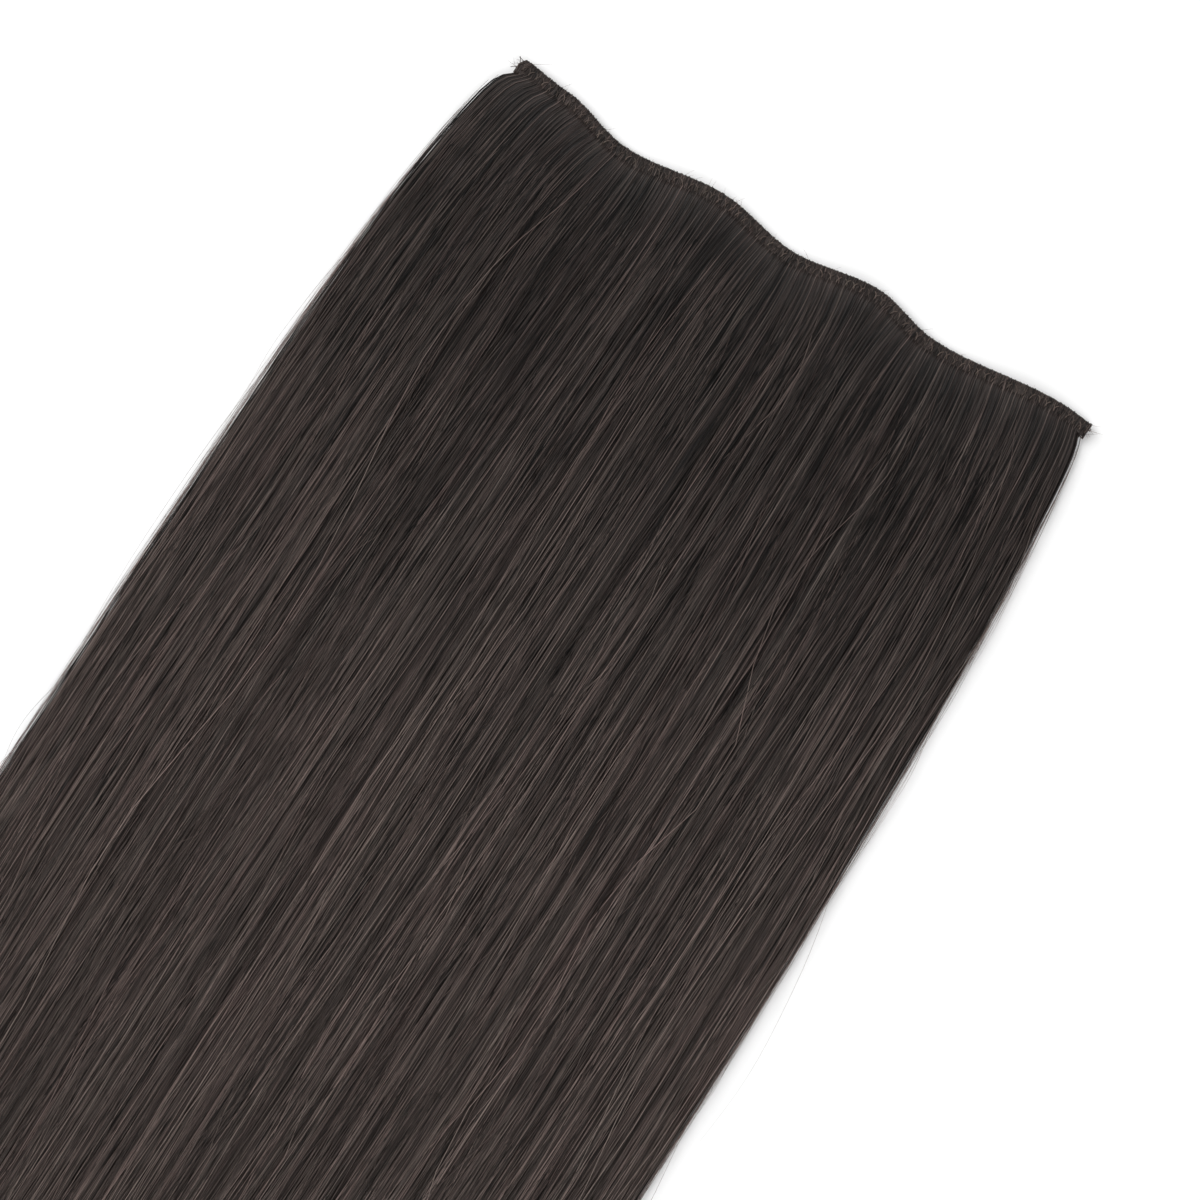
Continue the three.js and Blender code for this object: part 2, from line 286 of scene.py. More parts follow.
# The colour of the hair. Each hair has its own tone, which drifts along it. Neighbouring hairs
# share broad darker and lighter patches, and lean together to warm brown or to grey.
HAIR_WARM = (1.0, 0.885, 0.86)
HAIR_COOL = (0.95, 0.92, 0.875)
HUE_SWING = 0.2
ROUGH_DARK = 0.55
ROUGH_LIGHT = 0.36
# How fine the noises are: a hair's own, by its number and along it, and the one that neighbours
# share, in steps to a metre.
OWN_TONE = {"row": 1.0, "along": 19}
OWN_HUE = {"row": 1.7, "along": 4}
SHARED_TONE = {"across": 190, "along": 12}
SHARED_HUE = {"across": 330, "along": 14}


def hair_colour_group():
    """From a hair's tone and place, its colour, its roughness and the fine streaks along it."""
    group = bpy.data.node_groups.new("hair_colour", "ShaderNodeTree")
    sockets = group.interface
    for name in ("Tone", "Row", "Along", "Drift", "Patches"):
        sockets.new_socket(name, in_out="INPUT", socket_type="NodeSocketFloat")
    sockets.new_socket("Place", in_out="INPUT", socket_type="NodeSocketVector")
    for name in ("Dark", "Light", "Warm", "Cool"):
        sockets.new_socket(name, in_out="INPUT", socket_type="NodeSocketColor")
    sockets.new_socket("Color", in_out="OUTPUT", socket_type="NodeSocketColor")
    sockets.new_socket("Roughness", in_out="OUTPUT", socket_type="NodeSocketFloat")
    sockets.new_socket("Fibres", in_out="OUTPUT", socket_type="NodeSocketFloat")
    nodes, links = group.nodes, group.links
    given = nodes.new("NodeGroupInput")
    result = nodes.new("NodeGroupOutput")

    def math_node(operation, first, second, clamp=False):
        node = nodes.new("ShaderNodeMath")
        node.operation = operation
        node.use_clamp = clamp
        for socket, value in zip(node.inputs, (first, second)):
            if isinstance(value, (int, float)):
                socket.default_value = value
            else:
                links.new(value, socket)
        return node.outputs[0]

    def streaks(vector, detail):
        noise = nodes.new("ShaderNodeTexNoise")
        noise.inputs["Scale"].default_value = 1.0
        noise.inputs["Detail"].default_value = detail
        links.new(vector, noise.inputs["Vector"])
        return math_node("SUBTRACT", noise.outputs["Fac"], 0.5)

    def shared(fineness):
        mapping = nodes.new("ShaderNodeMapping")
        across, along = fineness["across"], fineness["along"]
        mapping.inputs["Scale"].default_value = (across, along, across)
        links.new(given.outputs["Place"], mapping.inputs["Vector"])
        return mapping.outputs["Vector"]

    def own(fineness):
        place = nodes.new("ShaderNodeCombineXYZ")
        links.new(math_node("MULTIPLY", given.outputs["Row"], fineness["row"]), place.inputs["X"])
        links.new(math_node("MULTIPLY", given.outputs["Along"], fineness["along"]), place.inputs["Y"])
        return place.outputs[0]

    fibres = streaks(own(OWN_TONE), 2.0)
    links.new(fibres, result.inputs["Fibres"])
    drift = math_node("MULTIPLY", fibres, given.outputs["Drift"])
    patches = math_node("MULTIPLY", streaks(shared(SHARED_TONE), 3.0), given.outputs["Patches"])
    toned = math_node("ADD", given.outputs["Tone"], math_node("ADD", drift, patches), clamp=True)
    warmth = nodes.new("ShaderNodeMapRange")
    warmth.inputs["From Min"].default_value = -HUE_SWING
    warmth.inputs["From Max"].default_value = HUE_SWING
    hue = math_node("ADD", streaks(shared(SHARED_HUE), 2.0), streaks(own(OWN_HUE), 1.0))
    links.new(hue, warmth.inputs["Value"])

    shade = nodes.new("ShaderNodeMix")
    shade.data_type = "RGBA"
    links.new(toned, shade.inputs["Factor"])
    links.new(given.outputs["Dark"], shade.inputs["A"])
    links.new(given.outputs["Light"], shade.inputs["B"])
    tint = nodes.new("ShaderNodeMix")
    tint.data_type = "RGBA"
    links.new(warmth.outputs["Result"], tint.inputs["Factor"])
    links.new(given.outputs["Cool"], tint.inputs["A"])
    links.new(given.outputs["Warm"], tint.inputs["B"])
    tinted = nodes.new("ShaderNodeMix")
    tinted.data_type = "RGBA"
    tinted.blend_type = "MULTIPLY"
    tinted.inputs["Factor"].default_value = 1.0
    links.new(shade.outputs["Result"], tinted.inputs["A"])
    links.new(tint.outputs["Result"], tinted.inputs["B"])
    links.new(tinted.outputs["Result"], result.inputs["Color"])
    rough = nodes.new("ShaderNodeMapRange")
    rough.inputs["To Min"].default_value = ROUGH_DARK
    rough.inputs["To Max"].default_value = ROUGH_LIGHT
    links.new(toned, rough.inputs["Value"])
    links.new(rough.outputs["Result"], result.inputs["Roughness"])
    return group


hair_colour = hair_colour_group()


def hair_material(name, dark, light, drift=0.7, patches=0.17, gloss=0.27, relief=0.0):
    """Hair or thread, from the tone and the place along it that each strand carries."""
    material = bpy.data.materials.new(name)
    material.use_nodes = True
    nodes, links = material.node_tree.nodes, material.node_tree.links
    shader = nodes["Principled BSDF"]
    shader.inputs["Specular IOR Level"].default_value = gloss
    colour = nodes.new("ShaderNodeGroup")
    colour.node_tree = hair_colour
    colour.inputs["Dark"].default_value = (*dark, 1)
    colour.inputs["Light"].default_value = (*light, 1)
    colour.inputs["Warm"].default_value = (*HAIR_WARM, 1)
    colour.inputs["Cool"].default_value = (*HAIR_COOL, 1)
    colour.inputs["Drift"].default_value = drift
    colour.inputs["Patches"].default_value = patches
    for attribute, socket in (("tone", "Tone"), ("row", "Row"), ("along", "Along")):
        reader = nodes.new("ShaderNodeAttribute")
        reader.attribute_name = attribute
        links.new(reader.outputs["Fac"], colour.inputs[socket])
    place = nodes.new("ShaderNodeTexCoord")
    links.new(place.outputs["Object"], colour.inputs["Place"])
    links.new(colour.outputs["Color"], shader.inputs["Base Color"])
    links.new(colour.outputs["Roughness"], shader.inputs["Roughness"])
    if relief:
        bump = nodes.new("ShaderNodeBump")
        bump.inputs["Distance"].default_value = relief * MM
        links.new(colour.outputs["Fibres"], bump.inputs["Height"])
        links.new(bump.outputs["Normal"], shader.inputs["Normal"])
    return material


DARK_HAIR = (0.002, 0.0016, 0.0015)
strand_material = hair_material("hair_strands", DARK_HAIR, (0.3, 0.246, 0.228))
# The hair under the strands, in the body and the band's core, has a lightest colour half that of the strands:
# painted shade for hair that lies beneath them.
under_material = hair_material("hair_under", DARK_HAIR, (0.15, 0.12, 0.11), relief=0.6)


# The mass of the hair under the outer strands: one closed soft slab, from the band to just short
# of the tips, that follows the locks. A sheet is extruded and each of its points laid in place.
BODY_ACROSS = 160
BODY_DOWN = 60
BODY_SIDE = 0.988
BODY_START = -0.6
BODY_SPACING = 1.4
BODY_END = 0.9
BODY_END_RAGGED = 0.06
BODY_TONES = (0.16, 0.42)
FIBRES_TO_A_MM = 3.2
# How far the outer strands stand above it, once they are clear of the band.
BODY_COVER = 0.9


def points_of(piece):
    """The piece's points as an array, a row for each."""
    points = np.empty(len(piece.data.vertices) * 3)
    piece.data.vertices.foreach_get("co", points)
    return points.reshape(-1, 3)


def grid_slab(name, across_count, down_count):
    """A square sheet from -1 to 1, extruded to a closed slab between heights 0 and 1."""
    bpy.ops.object.select_all(action="DESELECT")
    bpy.ops.mesh.primitive_grid_add(x_subdivisions=across_count, y_subdivisions=down_count, size=2)
    slab = bpy.context.object
    slab.name = name
    slab.data.name = name
    bpy.ops.object.mode_set(mode="EDIT")
    bpy.ops.mesh.select_all(action="SELECT")
    bpy.ops.mesh.extrude_region_move(TRANSFORM_OT_translate={"value": (0, 0, 1)})
    bpy.ops.mesh.select_all(action="SELECT")
    bpy.ops.mesh.normals_make_consistent(inside=False)
    bpy.ops.object.mode_set(mode="OBJECT")
    # The extrusion makes the slab's walls in an order that changes from run to run, so it is sorted.
    corners = points_of(slab)
    faces = sorted(tuple(face.vertices) for face in slab.data.polygons)
    slab.data.clear_geometry()
    slab.data.from_pydata(corners, [], faces)
    return slab


def set_points(piece, points):
    """Moves the piece's points to the places in an array."""
    piece.data.vertices.foreach_set("co", points.ravel())
    piece.data.update()


def carry(piece, name, values):
    """Gives each point of a piece a value for its material to read."""
    attribute = piece.data.attributes.new(name, "FLOAT", "POINT")
    attribute.data.foreach_set("value", np.ascontiguousarray(values, dtype=np.float32).ravel())


hair_body = grid_slab("hair_body", BODY_ACROSS, BODY_DOWN)
sheet = points_of(hair_body)
body_across = sheet[:, 0] * BODY_SIDE
body_share = 0.5 - 0.5 * sheet[:, 1]
body_noise = np.random.default_rng(11)
body_column = np.round((sheet[:, 0] + 1) / 2 * BODY_ACROSS).astype(int)
column_ends = BODY_END + BODY_END_RAGGED * body_noise.uniform(-1, 1, BODY_ACROSS + 1)
body_length = lock_lengths[lock_at(body_across)] * column_ends[body_column]
body_down = BODY_START + (body_length - BODY_START) * body_share**BODY_SPACING
body_x, body_y = fall_place(body_across, np.maximum(body_down, 0))
body_y = body_y - np.minimum(body_down, 0)
body_depth = fall_depth(body_across, body_down)
body_top = np.maximum(body_depth - BODY_COVER * smooth(body_down, -30, 60), 0.45 * body_depth)
body_low = np.minimum(0.35, 0.2 * body_depth)
closing = smooth(body_share, 0.85, 1.0)
body_up = np.where(sheet[:, 2] > 0.5, body_top * (1 - 0.8 * closing), body_low * (1 - 0.4 * closing))
set_points(hair_body, in_frame(body_x, body_y, fall_rise(body_x, body_y, body_down) + body_up))
column_tones = body_noise.uniform(*BODY_TONES, BODY_ACROSS + 1)
# The body's tones carry the painted shade: darker near the band, lighter further down.
carry(hair_body, "tone", column_tones[body_column] * painted_fall_shade(body_down))
carry(hair_body, "row", body_across * HALF_BAND * FIBRES_TO_A_MM)
carry(hair_body, "along", body_down / HAIR_LENGTH)
bpy.ops.object.shade_smooth()
hair_body.data.materials.append(under_material)
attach(hair_body, "root")
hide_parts("hair_fall")


# The outer hair: loose strands in wisps, each strand a fine tapered tube of three sides, in several
# layers over the whole fall. Some stray across their neighbours, and the sides are looser.
STRAND_STATIONS = np.concatenate(
    [
        [-1.6, -0.6, 0.8, 3, 6, 10, 15, 21, 29, 39, 51, 66],
        np.linspace(86, 408, 15),
        [434, 458, 481, 503],
    ]
)
STRAND_PIECES = 4
STRANDS_TO_A_PIECE = 890
STRANDS_UNDER = 640
TIP_STRANDS = 700
STRAND_RADIUS = 0.112
# Hairs in a wisp keep near each other, and draw a little closer on the way down.
WISP_SIZE = 4
WISP_LOOSENESS = 1.1
WISP_GATHER = 0.16
WISP_RUN = (15, 220)
# How many hairs in the outer layers stray across their neighbours, and how far.
STRAY_SHARE = {"outer": 0.2, "under": 0.0}
STRAY_REACH = 3.0
# A hair's tone is its wisp's and its own together: mostly dark, with a few light ones. The tones spread less
# about the middle one where the painted shade near the band darkens the hair, and the underside has no light
# hairs.
WISP_TONE = {"middle": 0.12, "spread": 0.05}
HAIR_TONE = {"shape": 0.5, "size": 0.43}
MIDDLE_TONE = 0.28
LIGHTEST_TONE = {"outer": 0.9, "under": 0.42}
# The fall thins out at its two sides: past this place the outermost hairs lie ever wider apart.
THIN_SIDE = 0.97
# Each stitch of the band gathers the hair into two small bundles, which spread a little way down.
STITCH_PITCH = 2.5
BUNDLE_RUN = 15


def from_bundle(x):
    """How far a place along the band is from the middle of its bundle, from -1 to 1."""
    return 2 * ((x / STITCH_PITCH * 2) % 1) - 1


def thinned(across):
    """Spreads the places of hairs near the sides, so that the last ones stand apart."""
    beyond = np.clip((np.abs(across) - THIN_SIDE) / (1 - THIN_SIDE), 0, 1)
    spread = THIN_SIDE + (1 - THIN_SIDE) * (0.55 * beyond + 0.45 * beyond**12)
    return np.where(beyond > 0, np.sign(across) * spread, across)


def strand_tubes(name, points, radii, tones, along):
    """One mesh of tapered three-sided tubes, a row of points and of tones for each, in metres."""
    strands, stations = radii.shape
    ahead = np.gradient(points, axis=1)
    ahead /= np.linalg.norm(ahead, axis=2, keepdims=True)
    upward = np.array([0.0, 0.0, 1.0])
    sideways = np.cross(ahead, upward)
    flat = np.linalg.norm(sideways, axis=2, keepdims=True)
    sideways = np.where(flat > 1e-4, sideways / np.maximum(flat, 1e-4), [1.0, 0.0, 0.0])
    above = np.cross(sideways, ahead)
    corners = []
    for corner in range(3):
        angle = math.radians(90 + 120 * corner)
        offset = math.cos(angle) * sideways + math.sin(angle) * above
        corners.append(points + offset * radii[:, :, None])
    vertices = np.stack(corners, axis=2).reshape(-1, 3)

    first = (np.arange(strands) * stations * 3)[:, None, None]
    ring = (np.arange(stations - 1) * 3)[None, :, None]
    corner = np.arange(3)[None, None, :]
    here = first + ring + corner
    beside = first + ring + (corner + 1) % 3
    sides = np.stack([here, here + 3, beside + 3, beside], axis=-1).reshape(-1, 4)
    root = first[:, 0, :] + np.array([[0, 1, 2]])
    tip = first[:, 0, :] + (stations - 1) * 3 + np.array([[0, 2, 1]])
    caps = np.concatenate([root, tip])

    mesh = bpy.data.meshes.new(name)
    mesh.vertices.add(len(vertices))
    mesh.vertices.foreach_set("co", vertices.ravel())
    corner_count = sides.size + caps.size
    mesh.loops.add(corner_count)
    mesh.loops.foreach_set("vertex_index", np.concatenate([sides.ravel(), caps.ravel()]))
    mesh.polygons.add(len(sides) + len(caps))
    starts = np.concatenate([np.arange(len(sides)) * 4, sides.size + np.arange(len(caps)) * 3])
    mesh.polygons.foreach_set("loop_start", starts)
    mesh.update(calc_edges=True)
    mesh.validate()
    piece = bpy.data.objects.new(name, mesh)
    bpy.context.collection.objects.link(piece)
    mesh.polygons.foreach_set("use_smooth", np.ones(len(mesh.polygons), dtype=bool))
    carry(piece, "tone", np.repeat(np.broadcast_to(tones, (strands, stations)).ravel(), 3))
    carry(piece, "row", np.repeat(np.arange(strands) * 7.31, stations * 3))
    carry(piece, "along", np.repeat(np.broadcast_to(along, (strands, stations)).ravel(), 3))
    strip_map(piece, strands, stations)
    return piece


def strip_map(piece, strands, stations):
    """A map with one upright strip for each strand, so that a baked picture keeps their tones."""
    mesh = piece.data
    used = np.empty(len(mesh.loops), dtype=np.int64)
    mesh.loops.foreach_get("vertex_index", used)
    corner = used % 3
    station = (used // 3) % stations
    strand = used // (3 * stations)
    u = (strand + 0.2 + 0.3 * corner) / strands
    v = 0.002 + 0.996 * station / (stations - 1)
    mesh.uv_layers.new(name="OFBake").data.foreach_set("uv", np.stack([u, v], axis=1).ravel())


def ripple(draw, count, low, high, down):
    """A smooth uneven wave for each strand, about 1 high, with lengths from low to high millimetres."""
    waves = np.zeros((count, len(down)))
    for _ in range(2):
        length = draw.uniform(low, high, (count, 1))
        start = draw.uniform(0, 2 * math.pi, (count, 1))
        waves += 0.5 * (np.sin(2 * math.pi * down[None, :] / length + start) - np.sin(start))
    return waves


def fall_strands(draw, low_across, high_across, count, stations, layer):
    """The points, radii and tones of strands that start between two places across the fall."""
    # Where each hair starts, how long it is, and the places along it.
    wisps = max(1, count // WISP_SIZE)
    breadth = high_across - low_across
    wisp_start = low_across + breadth * (np.arange(wisps) + draw.uniform(0, 1, wisps)) / wisps
    wisp = draw.integers(0, wisps, count)
    start = wisp_start[wisp] + draw.normal(0, WISP_LOOSENESS, count) * (breadth / wisps)
    spare = draw.uniform(0, 0.05, count)
    start = thinned(np.where(np.abs(start) > 1, np.sign(start) * (1 - spare), start))
    lock = lock_at(start)
    length = lock_lengths[lock] - np.abs(draw.normal(0, 20, count))
    length = np.minimum(length, HAIR_LENGTH - 1)
    down = stations[None, :] * np.ones((count, 1))
    share = np.clip(down / HAIR_LENGTH, 0, 1)
    down = np.where(down > 0, down * (1 + share**3 * (length[:, None] / HAIR_LENGTH - 1)), down)

    # Its way down, in its wisp and in its lock, which narrows towards the tips.
    lock_share = down / lock_lengths[lock][:, None]
    narrow = np.interp(lock_share, column(LOCK_BODY, "down"), column(LOCK_BODY, "width"))
    from_middle = start - lock_middles[lock]
    gather = WISP_GATHER * smooth(down, *WISP_RUN)
    across = start[:, None] + (wisp_start[wisp] - start)[:, None] * gather
    across = across - from_middle[:, None] * (1 - narrow) * 0.9
    across = np.clip(across, -1, 1)
    x, y = fall_place(across, np.maximum(down, 0))
    y = y - np.minimum(down, 0)

    # Its waves, its straying across the others, and the hold of the stitches at its root.
    wisp_wave = ripple(draw, wisps, 110, 280, stations)[wisp]
    own_wave = ripple(draw, count, 60, 150, stations)
    is_stray = draw.uniform(0, 1, count) < STRAY_SHARE[layer]
    stray = np.where(is_stray, draw.normal(0, STRAY_REACH, count), 0)
    calmer = 1 - 0.8 * smooth(down, 400, HAIR_LENGTH)
    crossing = ripple(draw, count, 90, 260, stations) * stray[:, None] * calmer
    inside = 1 - np.abs(across) ** 20
    freed = smooth(down, 2, 40)
    edge_room = 1 - np.abs(across) ** 40
    x = x + (0.9 * wisp_wave + 0.5 * own_wave) * freed * (0.15 + 0.85 * edge_room) + crossing * inside * freed
    off_bundle = from_bundle(start * HALF_BAND)[:, None]
    bundle = np.floor(start * HALF_BAND / STITCH_PITCH * 2)[:, None]
    held = np.exp(-np.maximum(down, 0) / (BUNDLE_RUN * (1.1 + 0.7 * uneven(bundle, 4))))
    x = x - 0.7 * off_bundle * STITCH_PITCH / 4 * held

    # Its height: near the underside, or a little below the top of the hair.
    depth = fall_depth(across, down)
    loose = smooth(down, 0, 45)
    if layer == "under":
        lift = draw.uniform(0.1, 0.8, count)[:, None] * np.minimum(1, depth / 3)
    else:
        below = draw.gamma(1.6, 0.36, count)[:, None]
        below = below * (0.3 + 0.7 * loose) - 0.12 * np.abs(stray[:, None]) * loose * 0.3
        below = below + 0.5 * off_bundle**2 * held + 0.5 * (1 - smooth(down, -1.7, -0.6))
        lift = np.maximum(depth - below, 0.12)
    height = 0.16 * ripple(draw, count, 40, 100, stations) * loose
    z = fall_rise(x, y, down) + np.maximum(lift + height, 0.25)

    # Its thickness and its tone.
    taper = np.interp(stations, [-2, 4, 420, HAIR_LENGTH], [0.9, 1.0, 0.85, 0.18])
    radii = STRAND_RADIUS * draw.uniform(0.6, 1.3, count)[:, None] * taper[None, :]
    wisp_tone = draw.normal(WISP_TONE["middle"], WISP_TONE["spread"], wisps)
    own_tone = draw.gamma(HAIR_TONE["shape"], HAIR_TONE["size"], count)
    tones = np.minimum(wisp_tone[wisp] + own_tone, LIGHTEST_TONE[layer])
    # Painted shade along the fall: darker near the band, lighter further down, with the tones' spread
    # narrowed where it is dark.
    lit = painted_fall_shade(down)
    tones = MIDDLE_TONE * lit + (tones[:, None] - MIDDLE_TONE) * np.sqrt(lit)
    # Painted shade in the gaps between the stitch bundles near the band, with an uneven tone for each bundle.
    tones = tones * (1 - (0.6 * off_bundle**2 + 0.15 * uneven(bundle, 5)) * held)
    return in_frame(x, y, z), radii * MM, np.clip(tones, 0, 1)


def add_strands(name, points, radii, tones, stations):
    """One piece of strands of the fall."""
    strands = strand_tubes(name, points, radii, tones, stations / HAIR_LENGTH)
    strands.data.materials.append(strand_material)
    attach(strands, "root")


for number in range(STRAND_PIECES):
    draw = np.random.default_rng(100 + number)
    low_across = -1 + 2 * number / STRAND_PIECES
    high_across = low_across + 2 / STRAND_PIECES
    points, radii, tones = fall_strands(
        draw, low_across, high_across, STRANDS_TO_A_PIECE, STRAND_STATIONS, "outer"
    )
    add_strands(f"hair_strands_{number + 1}", points, radii, tones, STRAND_STATIONS)

# The hairs of the underside, fewer and thicker.
draw = np.random.default_rng(200)
under_stations = STRAND_STATIONS[::2]
points, radii, tones = fall_strands(draw, -1, 1, STRANDS_UNDER, under_stations, "under")
add_strands("hair_strands_under", points, radii * 1.3, tones, under_stations)

# Shorter hairs that come to the surface only in the last part of the fall, and fill its ends.
draw = np.random.default_rng(210)
tip_stations = STRAND_STATIONS[-11:]
points, radii, tones = fall_strands(draw, -1, 1, TIP_STRANDS, tip_stations, "outer")
add_strands("hair_strands_tips", points, radii, tones, tip_stations)


# The sewn band. The hair is folded over the band's outer edge and pressed flat by the sewing:
# a soft core, with the folded hairs laid round it side by side.
BAND_HAIRS = 1300
BAND_HAIR_RADIUS = 0.13
CORE_ALONG = 210
CORE_ACROSS = 10
CORE_INSET = 0.22
CORE_SPACING = 1.3
CORE_ROUNDING = 0.7
CORE_PRESS = 0.14
CORE_TONES = (0.05, 0.3)
END_SLANT = 1.7
END_SLANT_DEPTH = 2.4
# The folded hair's section, from under the falling hair over the band, round the fold and back
# under it: inward from the fold and upward from the band's underside, in millimetres.
FOLD_SECTION = [
    {"inward": 5.4, "up": 1.6},
    {"inward": 4.4, "up": 1.86},
    {"inward": 3.5, "up": 1.86},
    {"inward": 2.4, "up": 1.86},
    {"inward": 1.5, "up": 1.98},
    {"inward": 0.8, "up": 2.04},
    {"inward": 0.3, "up": 1.75},
    {"inward": 0.06, "up": 1.1},
    {"inward": 0.3, "up": 0.42},
    {"inward": 1.0, "up": 0.14},
    {"inward": 2.6, "up": 0.2},
    {"inward": 4.3, "up": 0.12},
]
# The thread pulls dents into the folded hair: two rows of holes, and a notch in the fold at each turn.
OUTER_HOLE = {"inward": 1.7, "half_width": 0.4, "run": 0.5}
INNER_HOLE = {"inward": 3.7, "half_width": 0.45, "run": 0.9}
NOTCH = {"inward": 0.0, "half_width": 0.24, "run": 0.9}


def cut_end(along, inward):
    """The band's left end is cut slanting, so that it is shorter at the fold."""
    short = END_SLANT * np.clip(1 - inward / END_SLANT_DEPTH, 0, 1) / HALF_BAND
    return along + short * np.clip((-0.95 - along) / 0.05, 0, 1)


def band_points(along, inward, up):
    """Places in the band: along from -1 to 1, inward from the fold and up from the underside."""
    along = cut_end(along, inward)
    slope = fold_slope(along)
    x = along * HALF_BAND + slope * inward
    y = fold_out(along) - inward
    middle_y = fold_out(along) - BAND_HEIGHT / 2 + 0 * inward
    rise = carried_rise(along * HALF_BAND + 0 * inward, middle_y)
    return in_frame(x, y, rise + up)


def dent(from_middle, inward, size):
    """A soft dent in the folded hair: 1 in its middle, fading to 0 around it."""
    aside = (from_middle / size["half_width"]) ** 2
    return np.exp(-aside - ((inward - size["inward"]) / size["run"]) ** 2)


band_core = grid_slab("band_core", CORE_ALONG, CORE_ACROSS)
sheet = points_of(band_core)
core_inward = CORE_INSET + (BAND_HEIGHT - CORE_INSET) * (0.5 - 0.5 * sheet[:, 1]) ** CORE_SPACING
from_fold = np.clip(1 - (core_inward - CORE_INSET) / CORE_ROUNDING, 0, 1)
roll = np.sqrt(np.clip(1 - from_fold**2, 0.02, 1))
press = CORE_PRESS * smooth(core_inward, 1.4, 2.4) * (1 - smooth(core_inward, 3.6, 4.4))
core_half = (BAND_THICKNESS / 2 - CORE_INSET) * roll - press / 2
core_up = BAND_THICKNESS / 2 - 0.08 - press / 2 + core_half * (2 * sheet[:, 2] - 1)
core_along = sheet[:, 0] * (1 - 0.5 / HALF_BAND)
set_points(band_core, band_points(core_along, core_inward, core_up))
core_tones = np.random.default_rng(31).uniform(*CORE_TONES, CORE_ALONG + 1)
core_column = np.round((sheet[:, 0] + 1) / 2 * CORE_ALONG).astype(int)
carry(band_core, "tone", core_tones[core_column])
carry(band_core, "row", sheet[:, 0] * HALF_BAND * FIBRES_TO_A_MM)
carry(band_core, "along", core_inward / HAIR_LENGTH)
bpy.ops.object.shade_smooth()
band_core.data.materials.append(under_material)
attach(band_core, "root")
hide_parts("weft_band")

# The folded hairs.
draw = np.random.default_rng(300)
fold_start = draw.uniform(-1, 1, (BAND_HAIRS, 1))
fold_x = fold_start * HALF_BAND / STITCH_PITCH
from_outer_hole = np.abs(((fold_x + 0.5) % 1) - 0.5) * STITCH_PITCH
from_inner_hole = np.abs((fold_x % 1) - 0.5) * STITCH_PITCH
fold_inward = column(FOLD_SECTION, "inward")[None, :] + draw.normal(0, 0.05, (BAND_HAIRS, 1))
from_turn = np.abs(((fold_x * 2) % 1) - 0.5) * STITCH_PITCH / 2
outer_hole = dent(from_outer_hole, fold_inward, OUTER_HOLE)
inner_hole = dent(from_inner_hole, fold_inward, INNER_HOLE)
notch = dent(from_turn, fold_inward, NOTCH)
fold_up = column(FOLD_SECTION, "up")[None, :] + draw.normal(0, 0.06, (BAND_HAIRS, 1))
upper = np.where(fold_up > 1, 1, -1)
fold_up = fold_up - upper * (0.45 * outer_hole + 0.5 * inner_hole + 0.25 * notch)
fold_inward = fold_inward + 0.42 * notch
slant = draw.normal(0, 0.1, (BAND_HAIRS, 1))
cut = 1 - draw.uniform(0, 0.006, (BAND_HAIRS, 1))
fold_places = np.clip(fold_start + slant * np.minimum(fold_inward, 4) / HALF_BAND, -cut, cut)
points = band_points(fold_places, fold_inward, fold_up)
radii = BAND_HAIR_RADIUS * MM * draw.uniform(0.7, 1.3, (BAND_HAIRS, 1)) * np.ones_like(fold_inward)
# Painted shade on the folded hair: darker at the rolled fold and in the thread's holes and notches.
tones = draw.gamma(2.0, 0.08, (BAND_HAIRS, 1)) * (1 - 0.2 * np.exp(-((fold_inward / 0.8) ** 2)))
tones = np.clip(tones * (1 - np.clip(outer_hole + inner_hole + 0.8 * notch, 0, 0.9)), 0, 1)
band_hair = strand_tubes("band_hair", points, radii, tones, column(FOLD_SECTION, "inward") / HAIR_LENGTH)
band_hair.data.materials.append(strand_material)
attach(band_hair, "root")


# The sewing thread: a row of looped zigzag along the band, the same row underneath, and a turn round
# the folded edge at each stitch, which pulls a small notch into it.
THREAD_RADIUS = 0.17
THREAD_STATIONS = 9
TURN_RADIUS = THREAD_RADIUS * 0.85
TAIL_RADIUS = THREAD_RADIUS * 0.7
# The two legs of each stitch, from the fold's side to the hair's side of the band, on top and below.
ZIGZAG_ROWS = [
    {"low": 3.7, "high": 1.6, "up": 2.1},
    {"low": 3.8, "high": 1.7, "up": 0.0},
]
# A turn's path round the fold, from the band's top to its underside.
TURN_SECTION = [
    {"inward": 1.9, "up": 1.7},
    {"inward": 1.3, "up": 2.0},
    {"inward": 0.7, "up": 2.0},
    {"inward": 0.3, "up": 1.7},
    {"inward": 0.2, "up": 1.1},
    {"inward": 0.35, "up": 0.4},
    {"inward": 0.9, "up": 0.15},
    {"inward": 2.0, "up": 0.3},
]
thread_material = hair_material(
    "sewing_thread", (0.012, 0.0098, 0.009), (0.25, 0.205, 0.18), patches=0.1, gloss=0.3
)
stitches = int(BAND_LENGTH / STITCH_PITCH)
stitch_x = (np.arange(stitches) + 0.5 - stitches / 2) * STITCH_PITCH
draw = np.random.default_rng(310)


def add_thread(name, points, radius, tones):
    """One piece of thread, with a row of points and a tone for each length of it."""
    stations = points.shape[1]
    radii = np.full(points.shape[:2], radius * MM)
    thread = strand_tubes(name, points, radii, tones[:, None], np.linspace(0, 0.05, stations))
    thread.data.materials.append(thread_material)
    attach(thread, "root")


